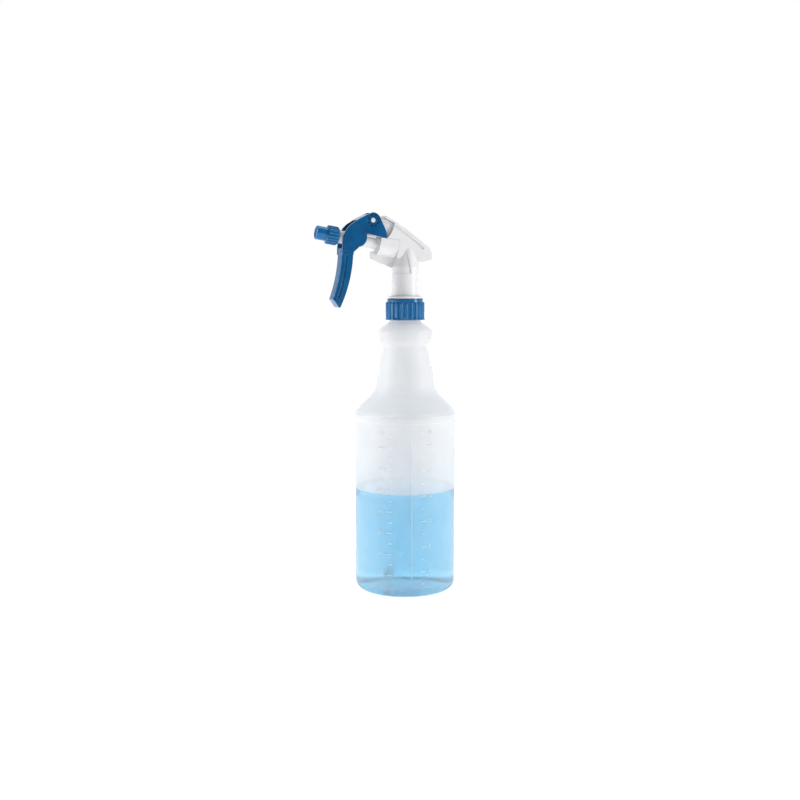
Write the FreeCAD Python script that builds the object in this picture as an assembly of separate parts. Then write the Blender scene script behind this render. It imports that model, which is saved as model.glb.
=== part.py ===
import FreeCAD, Part
import math
import os

"""Trigger spray bottle: a translucent 32 oz bottle with a hand-pumped sprayer screwed on it.

Millimetres. The origin is the centre of the bottle's foot on the table, +Z is up the bottle
axis, and +X is the way it sprays. The whole object is symmetric about the plane y = 0.
Each function makes one sub-part in its place, and build() writes them all.
"""

V = FreeCAD.Vector
X_AXIS = V(1, 0, 0)
Y_AXIS = V(0, 1, 0)
Z_AXIS = V(0, 0, 1)

# ---- bottle: blow-moulded, standing on a ring round a pushed-up base -------------------
WALL = 1.1
BODY_R = 43.0
BUMPER_R = 43.3            # heel and shoulder rings stand 0.3 mm proud of the body
FOOT_R = 36.0              # outside of the ring it stands on
FOOT_INNER_R = 31.0
PUSH_UP = 4.0
BODY_BOTTOM = 10.0         # the straight body, between the two rings
BODY_TOP = 147.0
SHOULDER_Z = 151.2
SHOULDER_ROUND = 6.0
SHOULDER_RUN = 12.0        # radial length of the 45 degree shoulder cone
NECK_BOTTOM = (24.9, 178.2)
NECK_MIDDLE = (22.7, 192.5)
NECK_TOP = (19.1, 208.3)
GRIP_R = 23.6              # the grip ring under the finish
GRIP_BOTTOM = 215.4
GRIP_TOP = 221.2
FINISH_TOP = 245.2
FINISH_R = 12.65           # root of the 28 mm thread
FINISH_BORE = 10.8
NECK_PITCH = 4.23          # six threads to the inch
NECK_THREAD_Z = 236.0
NECK_THREAD_R = 13.8
LIQUID_LEVEL = 88.5

# ---- closure ring ----------------------------------------------------------------------
CLOSURE_BOTTOM = 231.4
CLOSURE_TOP = 249.3
CLOSURE_BAND_R = 15.15     # smooth band above the ribs
CLOSURE_R = 15.6
CLOSURE_FLARE_R = 16.9
CLOSURE_BORE = 14.1
CLOSURE_HOLE = 11.2
CLOSURE_RIBS = 24
CLOSURE_RIB_TOP = 245.4

# ---- tube holder, gasket and inlet valve, stacked on the bottle's finish --------------
GASKET_THICK = 1.2
STEM_FLANGE_R = 12.7
STEM_FLANGE_TOP = 247.9
STEM_SLEEVE_R = 9.8
STEM_TUBE_R = 4.6
STEM_BOTTOM = 231.0
STEM_TOP = 257.0
INLET_SEAT_Z = 247.0
INLET_SEAT_R = 1.7
INLET_CHAMBER_R = 3.4
INLET_CHAMBER_Z = 249.2
INLET_BALL_R = 2.5
INLET_LIFT = 1.4
SEAT_GAP = 0.05            # a ball rests this far off its seat

# ---- dip tube: straight, a slight bow back, then a long curve to the front of the foot --
TUBE_R = 3.0
TUBE_BORE = 2.0
TUBE_ROUTE = ((0.0, 244.0), (0.0, 172.0), (-7.4, 76.0), (15.4, 8.2))
TUBE_BENDS = (300.0, 190.0)
STRAINER_R = 4.4
STRAINER_LENGTH = 13.0
STRAINER_OVER = 2.0        # the strainer reaches this far past the end of the tube

# ---- pump body: column, inclined cylinder, pivot nose and rib --------------------------
COLUMN_R = 12.0
COLUMN_RING_Z = 270.4
COLUMN_UPPER_R = 11.8
COLUMN_SHOULDER_Z = 276.0
COLUMN_TOP = (9.0, 288.4)
HEAD_FLANGE_R = 15.3
HEAD_FLANGE_Z = 249.55
HEAD_FLANGE_TOP = 251.3
HEAD_BOSS_R = 10.9
COLUMN_CEILING = 279.0
PUMP_TILT = 10.0           # the pump axis rises this many degrees towards the nozzle
PUMP_ORIGIN_Z = 290.2      # where the pump axis crosses the bottle axis
CYLINDER_R = 7.4
HOUSING_R = 8.55          # the round underside and flat sides round the cylinder
CYLINDER_BORE = 6.2
CYLINDER_REAR = -3.0       # distances along the pump axis
CYLINDER_FLOOR = 4.0
HOUSING_REAR = 9.0
CYLINDER_RIM = 25.0
GLAND_LIP_R = 7.1
GLAND_LIP = 0.9
INLET_TUBE_R = 3.3
PASSAGE_R = 1.8
NOSE_HALF = 5.7
NOSE_R = 4.6
RIB_HALF = 1.1
RUNNING_FIT = 0.05         # radial clearance of each pin and piston

# ---- piston barrel and what rides in it -------------------------------------------------
ROD_R = 4.8
SPIGOT_R = 4.0
ROD_REAR = 13.5
SPIGOT_FRONT = 17.0
SPRING_CHAMBER_R = 3.2
SPRING_CHAMBER_FRONT = 28.0
BARREL_R = 5.3
BARREL_REAR = 39.0
BARREL_FRONT = 61.0
BARREL_BORE = 3.0
TRUNNION_S = 42.0
TRUNNION_R = 2.0
TRUNNION_HALF = 7.2
TIP_ROOT_R = 4.2
TIP_CREST_R = 4.8
TIP_THREAD_END = 70.5
TIP_NOSE_R = 4.0
TIP_END = 73.6
NOZZLE_PITCH = 2.4
VENT_SEAL = (20.4, 23.2)
OUTLET_SEAT_S = 29.2
OUTLET_SEAT_R = 1.2
OUTLET_CONE_S = 31.0
OUTLET_CONE_R = 2.6
OUTLET_BALL_R = 2.0

# ---- nozzle cap -------------------------------------------------------------------------
CAP_REAR = 60.0
CAP_FRONT = 79.0
CAP_GRIP = (61.6, 69.0)
CAP_GRIP_R = 7.75
CAP_BASE_R = 7.05
CAP_FRONT_R = 5.7
CAP_RIBS = 18
CAP_COUNTERBORE = (5.6, 62.2)
CAP_BORE = 5.05
CAP_FRONT_BORE = 4.6
CAP_WALL_S = 76.4
CAP_RECESS_R = 4.4
CAP_RECESS_S = 78.2
ORIFICE_R = 0.4
NOZZLE_SEAL = (71.6, 73.5)

# ---- trigger ----------------------------------------------------------------------------
PIVOT = (30.8, 314.0)      # x, z of the pin that the trigger turns on
PIN_R = 2.0
EAR_R = 6.4
CHEEK_INNER = 6.0
CHEEK_OUTER = 7.9
PLATE_OUTER = 8.5
PLATE_RIDGE = 0.45         # height of the crease line on each plate
HANDLE_HALF = 6.5
SLOT_DEPTH = 1.3
SLOT_CLEARANCE = 0.35

# ---- shroud -----------------------------------------------------------------------------
SHROUD_HALF = 8.6
SHROUD_WALL = 1.4
SKIRT_R = 12.6
SKIRT_BORE = 11.85
TRIGGER_SWEEP_R = 18.7     # the side panels stay behind this arc about the pivot
FLARE_FOOT = (9.7, 282.5)  # x, z of the two ends of the cover's lower edge in front
FLARE_PEAK = (1.9, 287.2)


# ======================================= helpers =========================================
def in_xz(u, v):
    return V(u, 0, v)


def face_of(start, steps, place=in_xz):
    """A flat face: each step is a point to draw a line to, or (middle, end) of an arc."""
    edges = []
    here = place(*start)
    for step in list(steps) + [start]:
        if isinstance(step[0], tuple):
            end = place(*step[1])
            edges.append(Part.Arc(here, place(*step[0]), end).toShape())
        else:
            end = place(*step)
            if end.distanceToPoint(here) > 1e-6:
                edges.append(Part.makeLine(here, end))
        here = end
    return Part.Face(Part.Wire(edges))


def turned(start, steps):
    """The solid that an outline of (radius, z) makes when it is turned about the Z axis."""
    return face_of(start, steps).revolve(V(0, 0, 0), Z_AXIS, 360)


def slab(start, steps, low, high):
    """The solid that an outline of (x, z) makes between y = low and y = high."""
    face = face_of(start, steps)
    face.translate(V(0, low, 0))
    return face.extrude(V(0, high - low, 0))


def mirrored_pair(shape):
    """A shape and its twin on the other side of the plane y = 0."""
    return [shape, shape.mirror(V(0, 0, 0), Y_AXIS)]


def rod(radius, low, high, x=0.0, y=0.0):
    return Part.makeCylinder(radius, high - low, V(x, y, low))


def ring(outer, inner, low, high):
    return rod(outer, low, high).cut(rod(inner, low, high))


def pin_across(radius, x, z, low, high):
    """A round bar along Y, from y = low to y = high."""
    return Part.makeCylinder(radius, high - low, V(x, low, z), Y_AXIS)


def on_pump_axis(shape):
    """Move a shape made along +Z so that its z is the distance along the pump axis."""
    placed = shape.copy()
    placed.rotate(V(0, 0, 0), Y_AXIS, 90.0 - PUMP_TILT)
    placed.translate(V(0, 0, PUMP_ORIGIN_Z))
    return placed


def pump_point(distance):
    """The (x, z) of a point on the pump axis."""
    return along_pump(distance, 0.0)


def along_pump(distance, rise):
    """The (x, z) of a point at a distance along the pump axis and a rise square to it."""
    tilt = math.radians(PUMP_TILT)
    x = distance * math.cos(tilt) - rise * math.sin(tilt)
    z = distance * math.sin(tilt) + rise * math.cos(tilt)
    return x, PUMP_ORIGIN_Z + z


def thread(root_r, crest_r, base, crest, pitch, low, turns):
    """A helical ridge whose foot is sunk into the wall it stands on."""
    sink = 0.25 if crest_r > root_r else -0.25
    spine = Part.makeHelix(pitch, pitch * turns, root_r)
    corners = (
        (root_r - sink, -base / 2),
        (crest_r, -crest / 2),
        (crest_r, crest / 2),
        (root_r - sink, base / 2),
    )
    profile = Part.makePolygon([V(r, 0, z) for r, z in corners + corners[:1]])
    ridge = Part.Wire(spine.Edges).makePipeShell([profile], True, True)
    ridge.translate(V(0, 0, low))
    return ridge


def coil(mean_r, wire_r, low, high, turns):
    """A compression spring along Z, whose wire stays between z = low and z = high."""
    height = high - low - 2 * wire_r
    spine = Part.makeHelix(height / turns, height, mean_r)
    section = Part.Wire(Part.makeCircle(wire_r, V(mean_r, 0, 0), Y_AXIS))
    spring = Part.Wire(spine.Edges).makePipeShell([section], True, True)
    spring.translate(V(0, 0, low + wire_r))
    return spring


def around(count, shape):
    """Copies of a shape, evenly spaced about the Z axis."""
    copies = []
    for number in range(count):
        copy = shape.copy()
        copy.rotate(V(0, 0, 0), Z_AXIS, 360.0 * number / count)
        copies.append(copy)
    return copies


def ball_centre(seat_r, seat_z, cone_r, cone_z, ball_r):
    """The height at which a ball rests in a conical seat, SEAT_GAP off it."""
    slope = (cone_r - seat_r) / (cone_z - seat_z)
    apex = seat_z - seat_r / slope
    return apex + (ball_r + SEAT_GAP) / math.sin(math.atan(slope))


# ======================================= bottle ==========================================
def on_circle(centre, radius, angle):
    """The point at this angle in degrees on a circle."""
    turn = math.radians(angle)
    return centre[0] + radius * math.cos(turn), centre[1] + radius * math.sin(turn)


def round_corner(centre, radius, first, last):
    """The (middle, end) of an arc about centre, from one angle in degrees to another."""
    middle = on_circle(centre, radius, (first + last) / 2)
    return middle, on_circle(centre, radius, last)


def lower_side(inset):
    """The outline from the push-up to the top of the neck, moved inwards by inset."""
    foot = FOOT_R, inset
    heel = BUMPER_R - FOOT_R
    shoulder_x = BUMPER_R - SHOULDER_ROUND
    cone_top_r = shoulder_x + SHOULDER_ROUND * math.cos(math.pi / 4) - SHOULDER_RUN
    cone_top_z = SHOULDER_Z + SHOULDER_ROUND * math.sin(math.pi / 4) + SHOULDER_RUN
    slant = inset * math.cos(math.pi / 4)
    return [
        ((FOOT_INNER_R / 2, inset + 0.753 * PUSH_UP), (FOOT_INNER_R, inset)),
        foot,
        round_corner((FOOT_R, heel), heel - inset, -90, 0),
        (BUMPER_R - inset, SHOULDER_Z),
        round_corner((shoulder_x, SHOULDER_Z), SHOULDER_ROUND - inset, 0, 45),
        (cone_top_r - slant, cone_top_z - slant),
        ((26.6 - 0.9 * inset, 172.1 - 0.4 * inset), (NECK_BOTTOM[0] - inset, NECK_BOTTOM[1])),
        ((NECK_MIDDLE[0] - inset, NECK_MIDDLE[1]), (NECK_TOP[0] - inset, NECK_TOP[1])),
    ]


def bottle_inside():
    """The space inside the bottle, up to the top of the finish."""
    steps = lower_side(WALL)
    steps += [
        ((18.1, 210.2), (18.9, 211.3)),
        (21.4, 213.8),
        ((22.15, 214.6), (GRIP_R - WALL, 215.8)),
        (GRIP_R - WALL, 220.8),
        ((22.3, 221.9), (21.6, 222.7)),
        (14.2, 227.9),
        ((11.6, 229.6), (FINISH_BORE, 232.6)),
        (FINISH_BORE, FINISH_TOP),
        (0, FINISH_TOP),
    ]
    return turned((0, PUSH_UP + WALL), steps)


def bottle_outside():
    """The whole of the bottle's outer form, as if it were solid."""
    steps = lower_side(0)
    steps += [
        ((19.2, 210.1), (20.0, 210.9)),
        (22.3, 212.9),
        ((23.25, 213.9), (GRIP_R, GRIP_BOTTOM)),
        (GRIP_R, GRIP_TOP),
        ((23.35, 222.5), (22.6, 223.4)),
        (16.8, 227.5),
        ((13.9, 229.4), (FINISH_R, 232.8)),
        (FINISH_R, FINISH_TOP - 0.4),
        (FINISH_R - 0.4, FINISH_TOP),
        (0, FINISH_TOP),
    ]
    return turned((0, PUSH_UP), steps)


def label_panel():
    """What the body's straight side lacks between its two proud rings."""
    lip = BUMPER_R - BODY_R
    steps = [
        (BODY_R, BODY_BOTTOM),
        (BODY_R, BODY_TOP),
        (BUMPER_R, BODY_TOP + 2 * lip),
        (BUMPER_R + 1, BODY_TOP + 2 * lip),
        (BUMPER_R + 1, BODY_BOTTOM - 2 * lip),
    ]
    return turned((BUMPER_R, BODY_BOTTOM - 2 * lip), steps)


def raised_bar(first, last, low, high):
    """A low bar moulded on the body's side, between two bearings in degrees."""
    plan = Part.makeCylinder(BUMPER_R - 0.05, high - low, V(0, 0, low), Z_AXIS, last - first)
    plan = plan.cut(rod(BODY_R - 0.2, low, high))
    plan.rotate(V(0, 0, 0), Z_AXIS, first)
    return plan


def scale_height(millilitres):
    """The height of the surface when the bottle holds this much, on its straight side."""
    datum = 100.0
    below = bottle_inside().common(rod(BODY_R, 0, datum)).Volume
    bore = BUMPER_R - WALL
    return datum + (millilitres * 1000.0 - below) / (math.pi * bore ** 2)


def graduations():
    """Two scales of level marks: millilitres, and US fluid ounces."""
    mark = 0.45
    ounce = 29.5735
    bars = []
    base = scale_height(0)
    per_ml = scale_height(1) - base
    for step in range(2, 16):
        level = base + per_ml * 50 * step
        start = 49.0 if step % 2 == 0 else 51.5
        bars.append(raised_bar(start, 55.0, level - mark, level + mark))
    for step in range(1, 14):
        level = base + per_ml * ounce * 2 * step
        end = 94.0 if step % 2 == 0 else 91.5
        bars.append(raised_bar(88.0, end, level - mark, level + mark))
    bars.append(raised_bar(77.0, 77.8, 18.0, 138.0))
    return bars


def bottle():
    finish_thread = thread(FINISH_R, NECK_THREAD_R, 2.3, 1.1, NECK_PITCH, NECK_THREAD_Z, 1.4)
    shell = bottle_outside().cut(label_panel())
    shell = shell.fuse(graduations() + [finish_thread])
    return shell.cut(bottle_inside())


def liquid():
    """The cleaner in the bottle, with a snug channel where the dip tube stands in it."""
    filled = bottle_inside().common(rod(BODY_R, 0, LIQUID_LEVEL))
    return filled.cut([dip_tube_outline(TUBE_R), strainer_form(STRAINER_R)])


# ======================================= closure =========================================
def closure_ring():
    """The ribbed screw collar that holds the sprayer down on the bottle."""
    round_r = 0.7
    form = turned(
        (0, CLOSURE_BOTTOM),
        [
            (CLOSURE_FLARE_R, CLOSURE_BOTTOM),
            (CLOSURE_FLARE_R, CLOSURE_BOTTOM + 0.7),
            (CLOSURE_R, CLOSURE_BOTTOM + 1.9),
            (CLOSURE_R, CLOSURE_RIB_TOP),
            (CLOSURE_BAND_R, CLOSURE_RIB_TOP + 0.5),
            (CLOSURE_BAND_R, CLOSURE_TOP - round_r),
            round_corner((CLOSURE_BAND_R - round_r, CLOSURE_TOP - round_r), round_r, 0, 90),
            (0, CLOSURE_TOP),
        ],
    )
    rib_r = 1.05
    rib = rod(rib_r, CLOSURE_BOTTOM + 0.7, CLOSURE_RIB_TOP - 0.2, x=CLOSURE_R - 0.15)
    cap = Part.makeSphere(rib_r, V(CLOSURE_R - 0.15, 0, CLOSURE_RIB_TOP - 0.2))
    form = form.fuse(around(CLOSURE_RIBS, rib.fuse(cap)))
    under_top = STEM_FLANGE_TOP + 0.1
    form = form.cut([rod(CLOSURE_BORE, CLOSURE_BOTTOM, under_top), rod(CLOSURE_HOLE, 240, 250)])
    lead = 0.25
    drop = 1.75
    start = NECK_THREAD_Z + lead * NECK_PITCH - drop
    ridge = thread(CLOSURE_BORE, 13.0, 2.3, 1.1, NECK_PITCH, start, 1.1)
    ridge.rotate(V(0, 0, 0), Z_AXIS, 360 * lead)
    return form.fuse(ridge)


def neck_gasket():
    return ring(STEM_FLANGE_R - 0.2, 9.6, FINISH_TOP, FINISH_TOP + GASKET_THICK)


def valve_stem():
    """The tube holder: a flange on the gasket, a sleeve in the column, and the inlet seat."""
    flange_z = FINISH_TOP + GASKET_THICK
    form = ring(STEM_FLANGE_R, STEM_TUBE_R, flange_z, STEM_FLANGE_TOP)
    form = form.fuse(ring(STEM_SLEEVE_R, STEM_SLEEVE_R - 1.3, flange_z, STEM_TOP - 3))
    form = form.fuse(rod(STEM_TUBE_R, STEM_BOTTOM, STEM_TOP))
    bore = turned(
        (0, STEM_BOTTOM),
        [
            (TUBE_R, STEM_BOTTOM),
            (TUBE_R, TUBE_ROUTE[0][1]),
            (INLET_SEAT_R, TUBE_ROUTE[0][1]),
            (INLET_SEAT_R, INLET_SEAT_Z),
            (INLET_CHAMBER_R, INLET_CHAMBER_Z),
            (INLET_CHAMBER_R, 254.4),
            (INLET_TUBE_R, 254.4),
            (INLET_TUBE_R, STEM_TOP),
            (0, STEM_TOP),
        ],
    )
    return form.cut(bore)


def inlet_ball_height():
    return ball_centre(INLET_SEAT_R, INLET_SEAT_Z, INLET_CHAMBER_R, INLET_CHAMBER_Z, INLET_BALL_R)


def inlet_ball():
    return Part.makeSphere(INLET_BALL_R, V(0, 0, inlet_ball_height()))


# ======================================= dip tube ========================================
def tube_path():
    """Straight runs joined by tangent arcs, from the holder down to the front of the foot."""
    corners = [in_xz(*point) for point in TUBE_ROUTE]
    edges = []
    here = corners[0]
    for number, radius in enumerate(TUBE_BENDS):
        corner = corners[number + 1]
        back = (corners[number] - corner).normalize()
        on = (corners[number + 2] - corner).normalize()
        half_turn = (math.pi - back.getAngle(on)) / 2
        reach = radius * math.tan(half_turn)
        middle = (back + on).normalize() * (radius / math.cos(half_turn) - radius)
        first = corner + back * reach
        last = corner + on * reach
        edges.append(Part.makeLine(here, first))
        edges.append(Part.Arc(first, corner + middle, last).toShape())
        here = last
    edges.append(Part.makeLine(here, corners[-1]))
    return Part.Wire(edges)


def dip_tube_outline(radius):
    """A round bar that follows the tube's path."""
    start = in_xz(*TUBE_ROUTE[0])
    section = Part.Wire(Part.makeCircle(radius, start, V(0, 0, -1)))
    return tube_path().makePipeShell([section], True, False)


def tube_end():
    """The tube's last point, and the direction it leaves in."""
    before = in_xz(*TUBE_ROUTE[-2])
    last = in_xz(*TUBE_ROUTE[-1])
    return last, (last - before).normalize()


def dip_tube():
    return dip_tube_outline(TUBE_R).cut(dip_tube_outline(TUBE_BORE))


def strainer_form(radius):
    """A round bar the length of the strainer, round the tube's lower end."""
    last, way = tube_end()
    start = last - way * (STRAINER_LENGTH - STRAINER_OVER)
    return Part.makeCylinder(radius, STRAINER_LENGTH, start, way)


def strainer():
    """A slotted cap pressed on the tube's lower end."""
    last, way = tube_end()
    socket = Part.makeCylinder(TUBE_R, STRAINER_LENGTH, last - way * STRAINER_LENGTH, way)
    mouth = Part.makeCylinder(TUBE_BORE, 5.0, last - way, way)
    across = 2 * STRAINER_R + 2
    seat = FreeCAD.Placement(last + way * STRAINER_OVER, FreeCAD.Rotation(Z_AXIS, way))
    slots = []
    for turn in (0, 60, 120):
        slot = Part.makeBox(across, 0.9, 1.4, V(-across / 2, -0.45, -0.4))
        slot.rotate(V(0, 0, 0), Z_AXIS, turn)
        slot.Placement = seat.multiply(slot.Placement)
        slots.append(slot)
    return strainer_form(STRAINER_R).cut([socket, mouth] + slots)


# ======================================= pump body =======================================
def column():
    """The round column, from its boss in the closure up to the shoulder under the shroud."""
    return turned(
        (0, STEM_FLANGE_TOP),
        [
            (HEAD_BOSS_R, STEM_FLANGE_TOP),
            (HEAD_BOSS_R, HEAD_FLANGE_Z),
            (HEAD_FLANGE_R, HEAD_FLANGE_Z),
            (HEAD_FLANGE_R, HEAD_FLANGE_TOP - 0.4),
            (HEAD_FLANGE_R - 0.4, HEAD_FLANGE_TOP),
            (COLUMN_R + 0.6, HEAD_FLANGE_TOP),
            (COLUMN_R, HEAD_FLANGE_TOP + 0.6),
            (COLUMN_R, COLUMN_RING_Z - 0.2),
            (COLUMN_R - 0.2, COLUMN_RING_Z),
            (COLUMN_UPPER_R, COLUMN_RING_Z),
            (COLUMN_UPPER_R, COLUMN_SHOULDER_Z),
            COLUMN_TOP,
            (0, COLUMN_TOP[1]),
        ],
    )


def nose():
    """The web over the cylinder that reaches forward between the ears to the pivot."""
    outline = slab(
        (12.5, 296.0),
        [
            (12.5, 311.5),
            (20.4, 315.5),
            on_circle(PIVOT, NOSE_R, 125),
            round_corner(PIVOT, NOSE_R, 125, 0),
            (31.6, 301.6),
            (24.2, 300.2),
            (24.2, 296.0),
        ],
        -NOSE_HALF,
        NOSE_HALF,
    )
    pocket = slab(
        (11.0, 303.2),
        [(11.0, 309.0), (23.0, 314.6), (25.0, 310.0), (22.0, 304.6)],
        -NOSE_HALF + 1.5,
        NOSE_HALF - 1.5,
    )
    return outline.cut(pocket)


def housing():
    """The sleeve round the cylinder: flat at the sides, round below, low beside the nose."""
    sides = [
        along_pump(CYLINDER_RIM, 5.4),
        (19.3, 299.15),
        along_pump(HOUSING_REAR, 6.3),
        pump_point(HOUSING_REAR),
    ]
    flat = slab(pump_point(CYLINDER_RIM), sides, -HOUSING_R, HOUSING_R)
    sleeve = on_pump_axis(rod(HOUSING_R, HOUSING_REAR, CYLINDER_RIM))
    above = [
        *sides[1:3],
        along_pump(HOUSING_REAR - 1, 6.3),
        (6.0, 306.0),
        (26.0, 306.0),
        (26.0, 300.5),
    ]
    over = slab(sides[0], above, NOSE_HALF, 10)
    return flat.fuse(sleeve).cut(mirrored_pair(over))


def rib():
    """The thin web between the column and the underside of the cylinder."""
    outline = [(30.4, 282.1), (31.1, 288.3), (24.5, 288.8), (8.0, 286.0)]
    return slab((11.0, 274.2), outline, -RIB_HALF, RIB_HALF)


def inlet_tube():
    """The tube inside the column, with four prongs over the inlet ball."""
    crown = math.sqrt(INLET_BALL_R ** 2 - PASSAGE_R ** 2)
    low = inlet_ball_height() + INLET_LIFT + crown + 0.1
    tube = rod(INLET_TUBE_R, low, COLUMN_CEILING + 1)
    slot = Part.makeBox(8, 1.6, 2.2, V(-4, -0.8, low))
    cross = slot.copy()
    cross.rotate(V(0, 0, 0), Z_AXIS, 90)
    return tube.cut([slot, cross])


def pump_body():
    """The white pump housing, in one moulding."""
    cylinder = rod(CYLINDER_R, CYLINDER_REAR, CYLINDER_RIM - 1)
    cored = column().cut(rod(STEM_SLEEVE_R, STEM_FLANGE_TOP, COLUMN_CEILING))
    form = cored.fuse([on_pump_axis(cylinder), housing(), nose(), rib()])
    form = form.fuse(inlet_tube())
    bore = rod(CYLINDER_BORE, CYLINDER_FLOOR, CYLINDER_RIM + 8)
    gland_seat = rod(GLAND_LIP_R, CYLINDER_RIM, CYLINDER_RIM + GLAND_LIP)
    port = rod(PASSAGE_R - 0.2, 0, CYLINDER_FLOOR + 1)
    passage = rod(PASSAGE_R, FINISH_TOP, PUMP_ORIGIN_Z + 0.3)
    pivot_hole = pin_across(PIN_R, *PIVOT, -NOSE_HALF - 1, NOSE_HALF + 1)
    cuts = [on_pump_axis(cut) for cut in (bore, gland_seat, port)]
    return form.cut(cuts + [passage, pivot_hole])


def gland_ring():
    """The guide ring in the cylinder's mouth, with a lip over its rim."""
    insert = rod(CYLINDER_BORE, CYLINDER_RIM - 1.5, CYLINDER_RIM)
    lip = rod(GLAND_LIP_R, CYLINDER_RIM, CYLINDER_RIM + GLAND_LIP)
    bore = rod(ROD_R + RUNNING_FIT, CYLINDER_RIM - 2, CYLINDER_RIM + 2)
    return on_pump_axis(insert.fuse(lip).cut(bore))


def pivot_pin():
    length = CHEEK_OUTER + 0.1
    pin = pin_across(PIN_R, *PIVOT, -length, length)
    return pin.makeChamfer(0.3, [edge for edge in pin.Edges if len(edge.Vertexes) == 1])


# ================================ piston barrel and its fittings =========================
def piston_barrel():
    """The hollow plunger: seal spigot, rod, trunnions, spray barrel and threaded tip."""
    form = rod(SPIGOT_R, ROD_REAR, SPIGOT_FRONT + 1)
    form = form.fuse(rod(ROD_R, SPIGOT_FRONT, BARREL_REAR))
    form = form.cut(ring(ROD_R + 1, 4.2, *VENT_SEAL))
    barrel = Part.makeCone(ROD_R, BARREL_R, 0.8, V(0, 0, BARREL_REAR - 0.4))
    form = form.fuse([barrel, rod(BARREL_R, BARREL_REAR + 0.4, BARREL_FRONT)])
    form = form.fuse([rod(TIP_ROOT_R, BARREL_FRONT, TIP_THREAD_END), rod(TIP_NOSE_R, 70, TIP_END)])
    form = form.fuse(thread(TIP_ROOT_R, TIP_CREST_R, 1.4, 0.6, NOZZLE_PITCH, 62.4, 2.9))
    form = form.fuse(pin_across(TRUNNION_R, 0, TRUNNION_S, -TRUNNION_HALF, TRUNNION_HALF))
    bore = turned(
        (0, ROD_REAR),
        [
            (SPRING_CHAMBER_R, ROD_REAR),
            (SPRING_CHAMBER_R, SPRING_CHAMBER_FRONT),
            (OUTLET_SEAT_R, SPRING_CHAMBER_FRONT),
            (OUTLET_SEAT_R, OUTLET_SEAT_S),
            (OUTLET_CONE_R, OUTLET_CONE_S),
            (BARREL_BORE, OUTLET_CONE_S),
            (BARREL_BORE, TIP_END),
            (0, TIP_END),
        ],
    )
    return on_pump_axis(form.cut(bore))


def seal_cup(low, high, inner, lip):
    """A turned seal with a thin lip at each end and a waist between them."""
    outer = CYLINDER_BORE - RUNNING_FIT
    middle = (low + high) / 2
    outline = [
        (outer - lip, low),
        (outer, low + 0.3),
        (outer, low + 0.8),
        (outer - 0.7, middle),
        (outer, high - 0.8),
        (outer, high - 0.3),
        (outer - lip, high),
        (inner, high),
    ]
    return on_pump_axis(turned((inner, low), outline))


def piston_seal():
    return seal_cup(ROD_REAR + 0.1, SPIGOT_FRONT, SPIGOT_R, 0.3)


def vent_seal():
    return seal_cup(*VENT_SEAL, 4.2, 0.3)


def return_spring():
    return on_pump_axis(coil(2.5, 0.35, CYLINDER_FLOOR, SPRING_CHAMBER_FRONT, 9))


def outlet_ball_distance():
    return ball_centre(OUTLET_SEAT_R, OUTLET_SEAT_S, OUTLET_CONE_R, OUTLET_CONE_S, OUTLET_BALL_R)


def outlet_ball():
    return on_pump_axis(Part.makeSphere(OUTLET_BALL_R, V(0, 0, outlet_ball_distance())))


def outlet_spring():
    return on_pump_axis(coil(1.5, 0.2, outlet_ball_distance() + 1.5, 37.0, 4))


def swirl_core():
    """The finned rod down the barrel, whose grooved tip spins the liquid at the orifice."""
    disc = rod(BARREL_BORE, 37.0, 38.2)
    form = disc.fuse([rod(1.8, 38, 71), rod(2.4, 70, 75.5)])
    fin = Part.makeBox(2.9, 0.8, 26, V(0, -0.4, 42))
    form = form.fuse(around(3, fin))
    gate = rod(0.7, 36, 39, x=2.4)
    groove = Part.makeBox(3, 0.6, 4, V(0.9, 0.9, 72))
    return on_pump_axis(form.cut(around(3, gate) + around(3, groove)))


# ======================================= nozzle ==========================================
def nozzle_seal():
    outer = CAP_FRONT_BORE - RUNNING_FIT
    return on_pump_axis(ring(outer, TIP_NOSE_R + RUNNING_FIT, *NOZZLE_SEAL))


def nozzle_cap():
    """The knurled cap: turned right in it is off, and turned out it goes from spray to jet."""
    form = turned(
        (0, CAP_REAR),
        [
            (6.4, CAP_REAR),
            (CAP_BASE_R, CAP_REAR + 0.8),
            (CAP_BASE_R, CAP_GRIP[1]),
            (CAP_FRONT_R + 0.2, CAP_GRIP[1] + 1.3),
            (CAP_FRONT_R, CAP_GRIP[1] + 1.6),
            (CAP_FRONT_R, CAP_FRONT - 0.4),
            (CAP_FRONT_R - 0.4, CAP_FRONT),
            (CAP_RECESS_R, CAP_FRONT),
            (CAP_RECESS_R - 0.3, CAP_RECESS_S),
            (0, CAP_RECESS_S),
        ],
    )
    rib_r = 0.75
    offset = CAP_GRIP_R - rib_r
    rib = rod(rib_r, *CAP_GRIP, x=offset)
    ends = [Part.makeSphere(rib_r, V(offset, 0, end)) for end in CAP_GRIP]
    form = form.fuse(around(CAP_RIBS, rib.fuse(ends)))
    bore = turned(
        (0, CAP_REAR),
        [
            (CAP_COUNTERBORE[0], CAP_REAR),
            CAP_COUNTERBORE,
            (CAP_BORE, CAP_COUNTERBORE[1]),
            (CAP_BORE, 70.8),
            (CAP_FRONT_BORE, 70.8),
            (CAP_FRONT_BORE, CAP_WALL_S),
            (0, CAP_WALL_S),
        ],
    )
    form = form.cut([bore, rod(ORIFICE_R, CAP_WALL_S - 1, CAP_FRONT)])
    ridge = thread(CAP_BORE, 4.45, 1.4, 0.6, NOZZLE_PITCH, 62.4 + 1.5 * NOZZLE_PITCH, 1.6)
    return on_pump_axis(form.fuse(ridge))


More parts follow.
